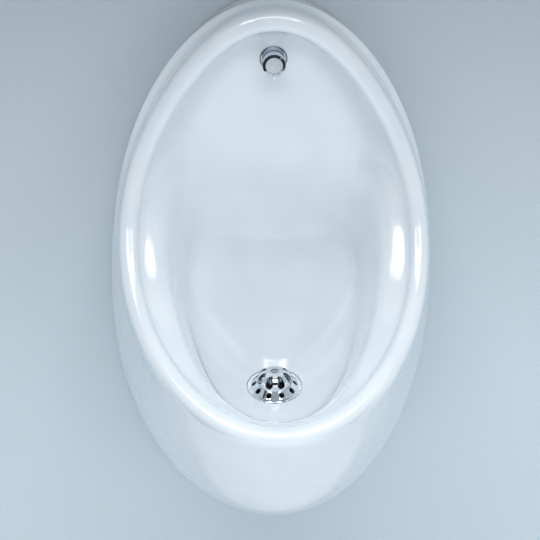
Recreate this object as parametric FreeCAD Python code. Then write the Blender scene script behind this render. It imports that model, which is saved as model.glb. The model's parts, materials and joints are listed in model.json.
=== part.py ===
import FreeCAD, Part
import os
from math import cos, pi, radians, sin
from FreeCAD import Vector

# Wall hung urinal. Millimetres, +Z up, the wall's face is the plane Y = 0 and the bowl stands out along -Y.
# X = 0 is the centre plane. The origin is the centre of the water inlet in the wall's face.
# "out" is a distance from the wall's face into the room, so a point's Y is -out. "level" is a Z.

# ---- bowl: outline at the wall, rim and basin ------------------------------------------------
BODY_HALF = 198.0           # half width of the outline at the wall
BODY_TOP = 60.0             # level of the top
BODY_LOW = -598.0           # level of the bottom at the wall
BELLY_LOW = -565.0          # lower control ring of the belly
BELLY_LOW_OUT = 135.0
BELLY_MID = -463.0          # middle control ring of the belly
BELLY_MID_OUT = 255.0
RIM_HALF = 157.0            # the rim's centre line
RIM_TOP = 46.0
RIM_LOW = -293.0
RIM_OUT_TOP = 66.0
RIM_OUT_LIP = 301.0
RIM_ROLL = 15.0             # half the thickness of the rolled rim
RIM_DEPTH = 26.0            # how far the roll's straight flank goes back
PANEL_OUT = 36.0            # flat seat of the inlet fitting on the back panel
ARCH_LEVEL = -152.0         # top of the arch where the basin starts
ARCH_SHOULDER = 34.0        # how much lower the round shoulders of the arch lie
POCKET_HALF = 108.0         # half width of the basin's edge
BASIN_BACK_OUT = 24.0       # the basin's back wall
FLOOR_LEVEL = -368.0        # basin floor round the waste
WASTE_OUT = 132.0           # axis of the waste
CHINA = 11.0                # thickness of the fired clay
COLUMNS = 32                # control points round each ring

# ---- openings in the china -------------------------------------------------------------------
INLET_HOLE_R = 12.0
INLET_SPOT_R = 15.0         # spot face round the inlet hole
INLET_BOSS_R = 19.0         # flat pad on the raw back round the inlet hole
WASTE_HOLE_R = 26.0
WASTE_RECESS = 3.0          # depth of the flange's seat below the basin floor
WASTE_BOSS_R = 38.0         # flat pad under the basin round the waste hole
SEAT_GAP = 0.5              # round a flange that lies in a recess

# ---- common clearances and walls -------------------------------------------------------------
THREAD_GAP = 0.05           # between a plain-turned thread and its nut
RUNNING_GAP = 0.05          # between parts that turn or slide on each other
SEAT_LIFT = 0.3             # round a washer, a seal or a tube that lies loose on its mate
THROUGH = 40.0              # length of a cutter that goes right through
GASKET = 2.0                # usual rubber thickness
SLIP_WASHER = 1.5

# ---- inlet fitting ---------------------------------------------------------------------------
INLET_THREAD_R = 10.48      # half inch pipe thread
INLET_BORE_R = 7.0
INLET_FREE_END = 28.0       # how far the tail goes into the wall
INLET_RELIEF_OUT = 8.0      # thread relief groove, front edge
INLET_RELIEF = 2.0
INLET_RELIEF_DEPTH = 0.9
FRONT_GASKET = 1.5
FRONT_GASKET_R = 12.6
ROSE_R = 13.0
ROSE = 3.0
NECK_R = 11.0
NECK = 7.0
NOSE_R = 8.0                # the nose that the cap turns on
NOSE_BORE_R = 5.0
NOSE_END = 2.0              # solid end of the nose
CAP_R = 12.0
CAP = 15.0
CAP_FRONT = 2.5             # thickness of the cap's closed end
CAP_SHOULDER_R = 2.9        # rounding between the cap's side and its front disc
CAP_RIM = 0.6               # thin raised rim round the front disc
CAP_GAP = 0.4               # between neck and cap, and at the nose's end
O_RING_R = 0.8              # section radius
O_RING_ALONG = 2.4          # from the cap's back edge to the ring's middle
O_RING_ROOM = 0.1           # each side of the ring in its groove
CHAMBER_ALONG = 4.4         # water chamber inside the cap
CHAMBER = 3.4
CHAMBER_R = 9.6
SPRAY_HOLE_R = 1.5          # from the nose into the chamber
SPRAY_SLOT = 1.4
SPRAY_SLOT_LONG = 2.6
SPRAY_ANGLES = (-52, -26, 0, 26, 52)
LOCK_ALONG = 10.4           # the locking screw's axis, and the groove that its tip runs in
LOCK_GROOVE = 3.0
LOCK_GROOVE_DEPTH = 1.4
CAP_SCREW_R = 1.2
CAP_SCREW_HEAD_R = 1.7
CAP_SCREW_HEAD = 3.0        # straight part of the head, under its dome
CAP_FLAT = 0.2              # depth of the flat that the head lies on
BACK_WASHER_R = 16.0
BACKNUT = 8.0
BACKNUT_FLATS = 27.0

# ---- waste -----------------------------------------------------------------------------------
WASTE_FLANGE_R = 31.75
WASTE_FLANGE = 2.6
WASTE_SEAL = 1.0
WASTE_THREAD_R = 23.9       # inch and a half pipe thread
WASTE_BORE_R = 20.5
WASTE_TAIL = 61.0           # length below the flange
STRAINER = 1.5              # thickness of the strainer's plate and skirt
STRAINER_SINK = 1.2         # how deep it lies in the flange
SKIRT_R = 27.5              # foot of the sloping skirt round the dome
SKIRT_RISE = 6.0
DOME_R = 20.4
DOME_HEIGHT = 20.7
DOME_WALL = 1.8
CROWN_R = 6.8
CROWN_HOLE_R = 4.5
CROWN_SINK = 3.0            # depth of the screw head's seat in the crown
DOME_SLOTS = 8
SLOT_LONG = 15.0            # along the chord of the dome
SLOT_WIDE = 9.0             # at its foot
SLOT_NARROW = 5.2           # at its top
SLOT_MID_R = 15.4           # middle of the chord
SLOT_MID_RISE = 14.7
SLOT_LEAN = 45.0            # degrees
SLOT_DEPTH = 4.5            # behind the chord
SKIRT_HOLES = 10
SKIRT_HOLE_R = 3.1
WASTE_MOUTH_R = 23.0        # the waste's bore widens to this below the strainer
WASTE_MOUTH = 5.0           # depth of that funnel
BRIDGE_DROP = 24.0          # from the flange's underside to the bridge
BRIDGE = 8.0
BRIDGE_WIDTH = 6.0
BRIDGE_HUB_R = 6.0
STRAINER_SCREW_R = 2.5
STRAINER_SCREW_HEAD_R = 4.1
STRAINER_SCREW_HEAD = 2.2
STRAINER_SCREW_TIP = 2.0    # past the bridge
SCREW_SLOT = 1.0
UNDER_GASKET = 3.0
WASTE_BACKNUT = 9.0
WASTE_BACKNUT_FLATS = 58.0
WASTE_WASHER_R = 34.0

# ---- trap ------------------------------------------------------------------------------------
TRAP_WASHER = 2.5
UNION_FLANGE = 3.0
UNION_WALL = 5.5            # of the plastic union nuts
UNION_GRIP = 18.0           # how far the inlet's nut reaches over its thread
UNION_LIP = 3.2
UNION_RIBS = 12
UNION_RIB_R = 2.0
TRAP_NECK_R = 19.5
TRAP_NECK = 13.0
TRAP_R = 32.0
TRAP_WALL = 2.5
TRAP_HEIGHT = 56.5
DIP_TUBE_R = 15.0
DIP_TUBE_WALL = 1.6
DIP_TUBE_FLANGE = 2.0
DIP_TUBE_LEDGE = 7.0        # depth of its ledge below the trap's mouth
DIP_TUBE_FOOT = 7.0         # gap under the dip tube
CUP_GRIP = 12.0             # how far the cup screws over the body
CUP_WALL = 3.0
CUP_FLOOR = 2.5
CUP_DEPTH = 3.5             # from the seal's seat to the floor
OUTLET_DROP = 22.0          # from the trap's shoulder to the outlet's axis
OUTLET_THREAD_R = 20.95     # inch and a quarter pipe thread
OUTLET_STUB = 16.0
OUTLET_GRIP = 10.0          # how far the outlet's nut reaches over its thread
OUTLET_SOCKET = 12.0        # how far the pipe goes into the stub
OUTLET_PIPE_R = 16.0
OUTLET_PIPE_WALL = 1.8
OUTLET_FREE_END = 45.0      # how far the pipe goes into the wall
STOP_BEAD_OUT = 6.0
STOP_BEAD = 4.0
STOP_BEAD_R = 18.0

# ---- wall hangers ----------------------------------------------------------------------------
HANGER_X = 95.0
HANGER_LEVEL = -56.0        # underside of the china lugs
HANGER_WIDTH = 36.0
HANGER_STEEL = 4.0
HANGER_DROP = 56.0          # from the shelf's top to the plate's lower end
HANGER_CORNER = 6.0
HOOK_OUT = 20.0
HOOK_LIP = 12.0
LUG_WIDTH = 50.0
LUG_HEIGHT = 24.0
LUG_REACH = 60.0            # the lug runs this far out, into the clay of panel and rim
LUG_GAP = 1.0               # between the hanger plate and the lug
GROOVE_GAP = 0.6
WALL_SCREW_R = 3.0
WALL_SCREW_HOLE_R = 3.5
WALL_SCREW_HEAD_R = 5.5
WALL_SCREW_HEAD = 4.0
WALL_SCREW_DEPTH = 50.0     # in the wall
WALL_SCREW_DROPS = (18.0, 42.0)   # below the shelf's top
WALL_WASHER_R = 6.5
WALL_PLUG_R = 5.0
WALL_PLUG = 52.0

# ---- seats along the inlet's axis (distances from the wall) and down the waste (levels) ------
PANEL_BACK = PANEL_OUT - CHINA                          # flat pad behind the panel
ROSE_BACK = PANEL_OUT + FRONT_GASKET
NECK_FRONT = ROSE_BACK + ROSE + NECK
CAP_BACK = NECK_FRONT + CAP_GAP
NOSE_FRONT = CAP_BACK + CAP - CAP_FRONT - CAP_GAP
SEAT = FLOOR_LEVEL - WASTE_RECESS                       # of the flange's seal in the basin floor
UNDERSIDE = SEAT - CHINA + 1                            # flat pad under the basin
FLANGE_UNDER = SEAT + WASTE_SEAL
STRAINER_UNDER = FLANGE_UNDER + WASTE_FLANGE - STRAINER_SINK
STRAINER_TOP = STRAINER_UNDER + STRAINER
SCREW_SEAT = STRAINER_TOP + DOME_HEIGHT - CROWN_SINK
BRIDGE_TOP = FLANGE_UNDER - BRIDGE_DROP
TAIL_END = FLANGE_UNDER - WASTE_TAIL
TRAP_MOUTH = TAIL_END - TRAP_WASHER
SHOULDER = TRAP_MOUTH - TRAP_NECK                       # of the trap's bottle
TRAP_FOOT = SHOULDER - TRAP_HEIGHT
CUP_INSIDE = TRAP_FOOT - GASKET - CUP_DEPTH             # the cup's floor
OUTLET_LEVEL = SHOULDER - OUTLET_DROP
STUB_END = WASTE_OUT - TRAP_R - OUTLET_STUB             # distance of the outlet stub's end from the wall
SHELF = HANGER_LEVEL - GASKET                           # top of the hangers' shelves

OUTWARDS = Vector(0, -1, 0)
UP = Vector(0, 0, 1)
DOWN = Vector(0, 0, -1)


# ---- rings of the china's skin ---------------------------------------------------------------
def swing(turn, start):
    """0 up to the angle start, then smoothly to 1 at the bottom of the ring, where turn is pi."""
    if turn <= start:
        return 0.0
    return (1 - cos(pi * (turn - start) / (pi - start))) / 2


def turn_of(column):
    """Angle of a column from the top of its ring, the same on both sides."""
    turn = 2 * pi * column / COLUMNS
    return min(turn, 2 * pi - turn)


def ring(half, top, low, egg, out_top, out_low, fall=0.42, start=58, nip=0.0, egg_top=None,
         shoulder=0.0):
    """A closed egg-shaped control ring.

    half is its half width, top and low are its levels, out_top and out_low its distances from the
    wall there. egg says how low its widest level lies, and egg_top does for the upper part, where it
    differs. From the angle start the ring swings out to out_low, falling by the slope fall, and it is
    drawn in by the share nip towards its low end. Its upper corners are lowered by up to shoulder, which
    makes a round arch of it.
    """
    egg_top = egg if egg_top is None else egg_top
    points = []
    for column in range(COLUMNS):
        turn = turn_of(column)
        share = swing(turn, radians(start))
        out = out_top + (out_low - out_top) * share
        height = top - low - (out_low - out_top) * fall
        power = egg_top + (egg - egg_top) * swing(turn, radians(20))
        level = low + (out_low - out) * fall + height * ((1 + cos(turn)) / 2) ** power
        level -= shoulder * sin(min(turn * 180 / 140, pi)) ** 4
        across = half * sin(2 * pi * column / COLUMNS) * (1 - nip * swing(turn, radians(60)))
        points.append(Vector(across, -out, level))
    return points


def level_ring(radius, out, level):
    """A control ring in a level plane round the waste's axis."""
    return [Vector(radius * sin(2 * pi * c / COLUMNS), -out + radius * cos(2 * pi * c / COLUMNS), level)
            for c in range(COLUMNS)]


def rolled(line, outward, up, up_lip=None):
    """The rim line moved outward and up along the rim's own directions, as the section of a rolled rim.

    The move up changes smoothly to up_lip at the lip, where that is given.
    """
    up_lip = up if up_lip is None else up_lip
    centre = sum(line, Vector()) * (1.0 / COLUMNS)
    points = []
    for column in range(COLUMNS):
        along = line[(column + 1) % COLUMNS] - line[column - 1]
        along.normalize()
        lean = radians(80) * swing(turn_of(column), radians(40))
        side = along.cross(Vector(0, -cos(lean), sin(lean)))
        side.normalize()
        if side.dot(line[column] - centre) < 0:
            side = side * -1
        rise = side.cross(along)
        if rise.dot(Vector(0, -1, 1)) < 0:
            rise = rise * -1
        lift = up + (up_lip - up) * swing(turn_of(column), radians(58))
        points.append(line[column] + side * outward + rise * lift)
    return points


def rim_line():
    return ring(RIM_HALF, RIM_TOP, RIM_LOW, 3.0, RIM_OUT_TOP, RIM_OUT_LIP, nip=-0.06)


def outer_rings():
    """From the wall to the foot of the rim's roll."""
    return [
        ring(BODY_HALF, BODY_TOP, BODY_LOW, 1.43, 0, 0, nip=0.08),
        ring(BODY_HALF + 1, BODY_TOP + 1, BODY_LOW - 4, 1.43, 12, 14, nip=0.08),
        ring(BODY_HALF - 1, BODY_TOP + 2, BELLY_LOW, 1.6, 20, BELLY_LOW_OUT, fall=0.3, start=66, nip=0.09,
             egg_top=1.43),
        ring(BODY_HALF - 9, BODY_TOP + 2, BELLY_MID, 2.1, 28, BELLY_MID_OUT, fall=0.3, start=68, nip=0.10,
             egg_top=1.43),
        rolled(rim_line(), RIM_ROLL, -RIM_DEPTH - 7, -85),
        rolled(rim_line(), RIM_ROLL - 1, -RIM_DEPTH),
    ]


def roll_rings():
    """Over the rim's roll."""
    line = rim_line()
    return [
        rolled(line, RIM_ROLL, -RIM_ROLL / 2),
        rolled(line, RIM_ROLL * 0.6, 1),
        rolled(line, -RIM_ROLL * 0.3, 1),
        rolled(line, -RIM_ROLL * 0.5, -RIM_ROLL * 0.35),
    ]


def inner_rings():
    """From the valley inside the rim over the ledge and the arch down to the basin's floor."""
    return [
        ring(RIM_HALF - 11, RIM_TOP - 8, RIM_LOW - 5, 3.0, RIM_OUT_TOP - 9, RIM_OUT_LIP - 15, nip=-0.10),
        ring(POCKET_HALF + 10, RIM_TOP - 30, RIM_LOW - 10, 2.2, PANEL_OUT + 1, RIM_OUT_LIP - 25, nip=-0.12),
        ring(POCKET_HALF, ARCH_LEVEL, RIM_LOW - 25, 1.7, PANEL_OUT - 1, RIM_OUT_LIP - 35, fall=0.5, start=50,
             nip=-0.18, egg_top=2.3, shoulder=ARCH_SHOULDER),
        ring(POCKET_HALF - 6, ARCH_LEVEL - 24, FLOOR_LEVEL + 25, 1.6, BASIN_BACK_OUT, RIM_OUT_LIP - 57,
             fall=0.5, start=50, nip=-0.10, egg_top=2.0, shoulder=ARCH_SHOULDER),
        ring(POCKET_HALF - 16, ARCH_LEVEL - 93, FLOOR_LEVEL + 6, 1.1, BASIN_BACK_OUT, WASTE_OUT + 83,
             fall=0.25, start=20),
        ring(POCKET_HALF - 38, FLOOR_LEVEL + 50, FLOOR_LEVEL + 2, 1.0, WASTE_OUT - 72, WASTE_OUT + 63, fall=0,
             start=0),
        level_ring(WASTE_FLANGE_R + 4, WASTE_OUT, FLOOR_LEVEL),
        level_ring(WASTE_HOLE_R, WASTE_OUT, FLOOR_LEVEL - 1),
    ]


def set_back(rings, first, last, distance):
    """Control rings first to last - 1, moved into the clay by distance along the skin's own direction."""
    moved = []
    for index in range(first, last):
        here = rings[index]
        before = rings[max(index - 1, 0)]
        after = rings[min(index + 1, len(rings) - 1)]
        points = []
        for column in range(COLUMNS):
            around = here[(column + 1) % COLUMNS] - here[column - 1]
            across = after[column] - before[column]
            inwards = around.cross(across)
            inwards.normalize()
            points.append(here[column] + inwards * distance)
        moved.append(points)
    return moved


def skin(rings):
    """A smooth surface over control rings, closed round each ring."""
    surface = Part.BSplineSurface()
    spans = len(rings) - 3
    surface.buildFromPolesMultsKnots(
        [[control[column] for control in rings] for column in range(COLUMNS)],
        [1] * (COLUMNS + 1), [4] + [1] * (spans - 1) + [4],
        list(range(COLUMNS + 1)), list(range(spans + 1)), True, False, 3, 3)
    return surface


def closed_skin(rings):
    """The space between such a surface and the flat faces over its first and last ring."""
    face = skin(rings).toShape()
    ends = [edge for edge in face.Edges if len(edge.Vertexes) == 1]
    caps = [Part.Face(Part.Wire(edge)) for edge in ends]
    shell = Part.makeShell([face] + caps)
    shell.sewShape()
    solid = Part.makeSolid(shell)
    if solid.Volume < 0:
        solid.reverse()
    return solid


# ---- small solids ----------------------------------------------------------------------------
def on_inlet(out):
    return Vector(0, -out, 0)


def on_outlet(out):
    return Vector(0, -out, OUTLET_LEVEL)


def on_waste(level):
    return Vector(0, -WASTE_OUT, level)


def rod(radius, length, base, axis):
    return Part.makeCylinder(radius, length, base, axis)


def tube(outer, inner, length, base, axis):
    return rod(outer, length, base, axis).cut(rod(inner, length, base, axis))


def block(across, out_from, out_to, low, high, middle=0.0):
    """A box, centred on X = middle."""
    return Part.makeBox(across, out_to - out_from, high - low, Vector(middle - across / 2, -out_to, low))


def edges_at(solid, axis, place):
    """The edges centred at one coordinate; axis is 0, 1 or 2 for X, Y or Z."""
    return [edge for edge in solid.Edges if abs(edge.CenterOfMass[axis] - place) < 0.01]


def turned(outline, base, axis):
    """A solid of revolution from (radius, distance) points."""
    points = [Vector(radius, 0, distance) for radius, distance in outline]
    face = Part.Face(Part.makePolygon(points + points[:1]))
    solid = face.revolve(Vector(), UP, 360)
    solid.Placement = FreeCAD.Placement(base, FreeCAD.Rotation(UP, axis))
    return solid


def hexagon(flats, length, base, axis):
    corner = flats / 2 / cos(pi / 6)
    points = [Vector(corner * cos(pi * k / 3), corner * sin(pi * k / 3), 0) for k in range(7)]
    solid = Part.Face(Part.makePolygon(points)).extrude(Vector(0, 0, length))
    solid.Placement = FreeCAD.Placement(base, FreeCAD.Rotation(UP, axis))
    return solid


def nut(flats, bore, length, base, axis):
    """A hexagon nut whose corners are turned down."""
    corner = flats / 2 / cos(pi / 6)
    drop = corner - flats / 2
    body = turned([(0, 0), (flats / 2, 0), (corner, drop / 2), (corner, length - drop / 2),
                   (flats / 2, length), (0, length)], base, axis)
    return hexagon(flats, length, base, axis).common(body).cut(rod(bore, length, base, axis))


# ---- bowl ------------------------------------------------------------------------------------
def lugs():
    """Two blocks in the hollow back that hook over the hangers, each with a groove for the hook's lip."""
    solids = []
    for side in (-1, 1):
        lug = block(LUG_WIDTH, HANGER_STEEL + LUG_GAP, LUG_REACH, HANGER_LEVEL, HANGER_LEVEL + LUG_HEIGHT,
                    side * HANGER_X)
        groove = block(LUG_WIDTH, HOOK_OUT - HANGER_STEEL - GROOVE_GAP, HOOK_OUT + GROOVE_GAP, HANGER_LEVEL,
                       HANGER_LEVEL + HOOK_LIP, side * HANGER_X)
        solids.append(lug.cut(groove))
    return solids


def hanger_rooms():
    """The free space that each hanger needs below the lugs."""
    return [block(HANGER_WIDTH + 2 * LUG_GAP, 0, HOOK_OUT + GROOVE_GAP, SHELF - HANGER_DROP - LUG_GAP, SHELF,
                  side * HANGER_X) for side in (-1, 1)]


def bowl():
    """The china: the body with its hollow back taken out, then the two holes and their seats."""
    outside = outer_rings()
    inside = inner_rings()
    rings = outside + roll_rings() + inside
    body = closed_skin(rings)

    hidden = set_back(rings, 0, len(outside) - 2, CHINA)
    wall_ring = [Vector(point.x, CHINA, point.z) for point in hidden[0]]
    crest = [rolled(rim_line(), 3, 7 - RIM_DEPTH), rolled(rim_line(), -5, 7 - RIM_DEPTH)]
    behind = set_back(rings, len(rings) - len(inside) + 1, len(rings) - 1, CHINA)
    foot = level_ring(WASTE_HOLE_R, WASTE_OUT, UNDERSIDE)
    hollow = closed_skin([wall_ring] + hidden + crest + behind + [foot])
    inlet_pad = rod(INLET_BOSS_R, CHINA, on_inlet(PANEL_BACK), OUTWARDS)
    waste_pad = rod(WASTE_BOSS_R, CHINA, on_waste(UNDERSIDE), UP)
    for solid in lugs() + [inlet_pad, waste_pad]:
        hollow = hollow.cut(solid)

    china = body.cut(hollow)
    holes = [rod(INLET_SPOT_R, INLET_SPOT_R, on_inlet(PANEL_OUT), OUTWARDS),
             rod(INLET_HOLE_R, THROUGH, on_inlet(PANEL_BACK - CHINA), OUTWARDS),
             rod(WASTE_FLANGE_R + SEAT_GAP, WASTE_FLANGE_R, on_waste(SEAT), UP),
             rod(WASTE_HOLE_R, THROUGH, on_waste(UNDERSIDE - CHINA), UP)]
    for cutter in holes + hanger_rooms():
        china = china.cut(cutter)
    return china


# ---- inlet fitting, from the front to the back -----------------------------------------------
def spreader_cap():
    back = on_inlet(CAP_BACK)
    front = CAP_BACK + CAP
    cap = rod(CAP_R, CAP, back, OUTWARDS)
    cap = cap.makeFillet(CAP_SHOULDER_R, edges_at(cap, 1, -front))
    disc_r = CAP_R - CAP_SHOULDER_R - CAP_RIM
    flat = block(2 * CAP_R, CAP_BACK, front, -CAP_R - 1, CAP_FLAT - CAP_R)
    pad = block(3 * CAP_SCREW_HEAD_R, CAP_BACK + LOCK_ALONG - 1.5 * CAP_SCREW_HEAD_R,
                CAP_BACK + LOCK_ALONG + 1.5 * CAP_SCREW_HEAD_R, -CAP_R - 1, CAP_FLAT - CAP_R)
    cap = cap.cut(flat.common(pad))
    cap = cap.cut(rod(disc_r, CAP_RIM, on_inlet(front - CAP_RIM), OUTWARDS))
    cap = cap.cut(rod(NOSE_R + RUNNING_GAP, CAP - CAP_FRONT, back, OUTWARDS))
    cap = cap.cut(rod(CHAMBER_R, CHAMBER, on_inlet(CAP_BACK + CHAMBER_ALONG), OUTWARDS))
    start = CAP_BACK + CHAMBER_ALONG + (CHAMBER - SPRAY_SLOT_LONG) / 2
    for angle in SPRAY_ANGLES:
        slot = block(SPRAY_SLOT, start, start + SPRAY_SLOT_LONG, -CAP_R - 1, -NOSE_R)
        slot.rotate(Vector(), OUTWARDS, angle)
        cap = cap.cut(slot)
    return cap.cut(rod(CAP_SCREW_R + THREAD_GAP, CAP_R, on_inlet(CAP_BACK + LOCK_ALONG), DOWN))


def spreader_grub_screw():
    """Lies on the cap's flat with its tip in the nose's groove, head downwards."""
    axis = on_inlet(CAP_BACK + LOCK_ALONG)
    tip = axis + DOWN * (NOSE_R - LOCK_GROOVE_DEPTH + SEAT_LIFT)
    seat = axis + DOWN * (CAP_R - CAP_FLAT)
    dome = seat + DOWN * CAP_SCREW_HEAD
    screw = rod(CAP_SCREW_R, (seat - tip).Length, tip, DOWN)
    screw = screw.fuse(rod(CAP_SCREW_HEAD_R, CAP_SCREW_HEAD, seat, DOWN))
    return screw.fuse(Part.makeSphere(CAP_SCREW_HEAD_R, dome)).removeSplitter()


def spreader_body():
    """Tail thread, rose, neck and nose, turned from one bar."""
    groove_r = NOSE_R + RUNNING_GAP - 2 * O_RING_R - 2 * RUNNING_GAP
    ring_from = CAP_BACK + O_RING_ALONG - O_RING_R - O_RING_ROOM
    ring_to = CAP_BACK + O_RING_ALONG + O_RING_R + O_RING_ROOM
    lock_from = CAP_BACK + LOCK_ALONG - LOCK_GROOVE / 2
    lock_to = lock_from + LOCK_GROOVE
    lock_r = NOSE_R - LOCK_GROOVE_DEPTH
    rose_front = ROSE_BACK + ROSE
    relief_r = INLET_THREAD_R - INLET_RELIEF_DEPTH
    relief_back = INLET_RELIEF_OUT - INLET_RELIEF
    outline = [
        (INLET_BORE_R, -INLET_FREE_END), (INLET_THREAD_R, -INLET_FREE_END),
        (INLET_THREAD_R, relief_back), (relief_r, relief_back),
        (relief_r, INLET_RELIEF_OUT), (INLET_THREAD_R, INLET_RELIEF_OUT),
        (INLET_THREAD_R, ROSE_BACK), (ROSE_R, ROSE_BACK), (ROSE_R, rose_front), (NECK_R, rose_front),
        (NECK_R, NECK_FRONT), (NOSE_R, NECK_FRONT),
        (NOSE_R, ring_from), (groove_r, ring_from), (groove_r, ring_to), (NOSE_R, ring_to),
        (NOSE_R, lock_from), (lock_r, lock_from), (lock_r, lock_to), (NOSE_R, lock_to),
        (NOSE_R, NOSE_FRONT), (0, NOSE_FRONT), (0, NOSE_FRONT - NOSE_END),
        (NOSE_BORE_R, NOSE_FRONT - NOSE_END), (NOSE_BORE_R, ROSE_BACK), (INLET_BORE_R, ROSE_BACK),
    ]
    body = turned(outline, Vector(), OUTWARDS)
    for angle in SPRAY_ANGLES[1:-1]:
        hole = rod(SPRAY_HOLE_R, NOSE_R, on_inlet(CAP_BACK + CHAMBER_ALONG + CHAMBER / 2), DOWN)
        hole.rotate(Vector(), OUTWARDS, angle)
        body = body.cut(hole)
    return body


def spreader_o_ring():
    return Part.makeTorus(NOSE_R - O_RING_R, O_RING_R, on_inlet(CAP_BACK + O_RING_ALONG), OUTWARDS)


def spreader_front_gasket():
    return tube(FRONT_GASKET_R, INLET_THREAD_R + SEAT_LIFT, FRONT_GASKET, on_inlet(PANEL_OUT), OUTWARDS)


def spreader_back_gasket():
    return tube(BACK_WASHER_R, INLET_THREAD_R + SEAT_LIFT, GASKET, on_inlet(PANEL_BACK - GASKET), OUTWARDS)


def spreader_slip_washer():
    back = PANEL_BACK - GASKET - SLIP_WASHER
    return tube(BACK_WASHER_R, INLET_THREAD_R + SEAT_LIFT, SLIP_WASHER, on_inlet(back), OUTWARDS)


def spreader_backnut():
    front = PANEL_BACK - GASKET - SLIP_WASHER
    return nut(BACKNUT_FLATS, INLET_THREAD_R + THREAD_GAP, BACKNUT, on_inlet(front - BACKNUT), OUTWARDS)


# ---- waste, from the top down ----------------------------------------------------------------
def dome_profile(skirt, radius, foot, crown, height):
    """Face under a skirt from (skirt, 0) up to (radius, foot), a round dome and its flat crown."""
    lean = 0.58 * (radius - crown)
    rise = 0.58 * (height - foot)
    curve = Part.BezierCurve()
    curve.setPoles([Vector(radius, 0, foot), Vector(radius, 0, foot + rise), Vector(crown + lean, 0, height),
                    Vector(crown, 0, height)])
    below = Part.makePolygon([Vector(crown, 0, height), Vector(0, 0, height), Vector(), Vector(skirt, 0, 0),
                              Vector(radius, 0, foot)])
    return Part.Face(Part.Wire([curve.toShape()] + below.Edges))


def slot_cutter():
    """Egg-shaped bar, square to the leaning chord of the dome, that cuts one slot, wide end down."""
    half_foot = SLOT_WIDE / 2
    half_top = SLOT_NARROW / 2
    foot = half_foot - SLOT_LONG / 2
    top = SLOT_LONG / 2 - half_top
    length = SLOT_DEPTH + DOME_R / 2
    corners = [Vector(0, -half_foot, foot), Vector(0, half_foot, foot), Vector(0, half_top, top),
               Vector(0, -half_top, top)]
    wedge = Part.makePolygon(corners + corners[:1])
    bar = Part.Face(wedge).extrude(Vector(length, 0, 0))
    bar = bar.fuse(rod(half_foot, length, Vector(0, 0, foot), Vector(1, 0, 0)))
    bar = bar.fuse(rod(half_top, length, Vector(0, 0, top), Vector(1, 0, 0)))
    bar.translate(Vector(-SLOT_DEPTH, 0, 0))
    bar.rotate(Vector(), Vector(0, 1, 0), -SLOT_LEAN)
    bar.translate(Vector(SLOT_MID_R, 0, SLOT_MID_RISE))
    return bar.cut(rod(CROWN_R, DOME_HEIGHT, Vector(), UP))


def strainer_dome():
    """Rim, pierced skirt and slotted dome in one casting, with a sunk seat for the screw."""
    slope = SKIRT_RISE / (SKIRT_R - DOME_R)
    skirt_inside = SKIRT_R - STRAINER * (1 + slope ** 2) ** 0.5 / slope
    inner_r = DOME_R - DOME_WALL
    outer = dome_profile(SKIRT_R, DOME_R, SKIRT_RISE, CROWN_R, DOME_HEIGHT).revolve(Vector(), UP, 360)
    inner = dome_profile(skirt_inside, inner_r, (skirt_inside - inner_r) * slope, CROWN_R - DOME_WALL,
                         DOME_HEIGHT - DOME_WALL).revolve(Vector(), UP, 360)
    boss_low = DOME_HEIGHT - CROWN_SINK - DOME_WALL
    inner = inner.cut(rod(CROWN_HOLE_R + DOME_WALL, DOME_HEIGHT, Vector(0, 0, boss_low), UP))
    rim_r = WASTE_FLANGE_R - WASTE_FLANGE - SEAT_LIFT
    dome = outer.fuse(rod(rim_r, STRAINER, Vector(), DOWN)).cut(inner)
    dome = dome.cut(rod(skirt_inside, STRAINER, Vector(), DOWN))
    slot = slot_cutter()
    for k in range(DOME_SLOTS):
        turned_slot = slot.copy()
        turned_slot.rotate(Vector(), UP, (k + 0.5) * 360 / DOME_SLOTS)
        dome = dome.cut(turned_slot)
    for k in range(SKIRT_HOLES):
        hole = rod(SKIRT_HOLE_R, STRAINER + SKIRT_RISE, Vector((SKIRT_R + DOME_R) / 2, 0, -STRAINER), UP)
        hole.rotate(Vector(), UP, k * 360 / SKIRT_HOLES)
        dome = dome.cut(hole)
    dome = dome.cut(rod(CROWN_HOLE_R, CROWN_SINK, Vector(0, 0, DOME_HEIGHT - CROWN_SINK), UP))
    dome = dome.cut(rod(STRAINER_SCREW_R + RUNNING_GAP, DOME_HEIGHT, Vector(), UP))
    dome.translate(on_waste(STRAINER_TOP))
    return dome


def strainer_screw():
    seat = on_waste(SCREW_SEAT)
    length = SCREW_SEAT - BRIDGE_TOP + BRIDGE + STRAINER_SCREW_TIP
    screw = rod(STRAINER_SCREW_R, length, seat, DOWN)
    screw = screw.fuse(rod(STRAINER_SCREW_HEAD_R, STRAINER_SCREW_HEAD, seat, UP))
    slot = block(2 * STRAINER_SCREW_HEAD_R, -SCREW_SLOT / 2, SCREW_SLOT / 2, 0, SCREW_SLOT)
    slot.rotate(Vector(), UP, 40)
    slot.translate(on_waste(SCREW_SEAT + STRAINER_SCREW_HEAD - SCREW_SLOT))
    return screw.cut(slot)


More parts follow.
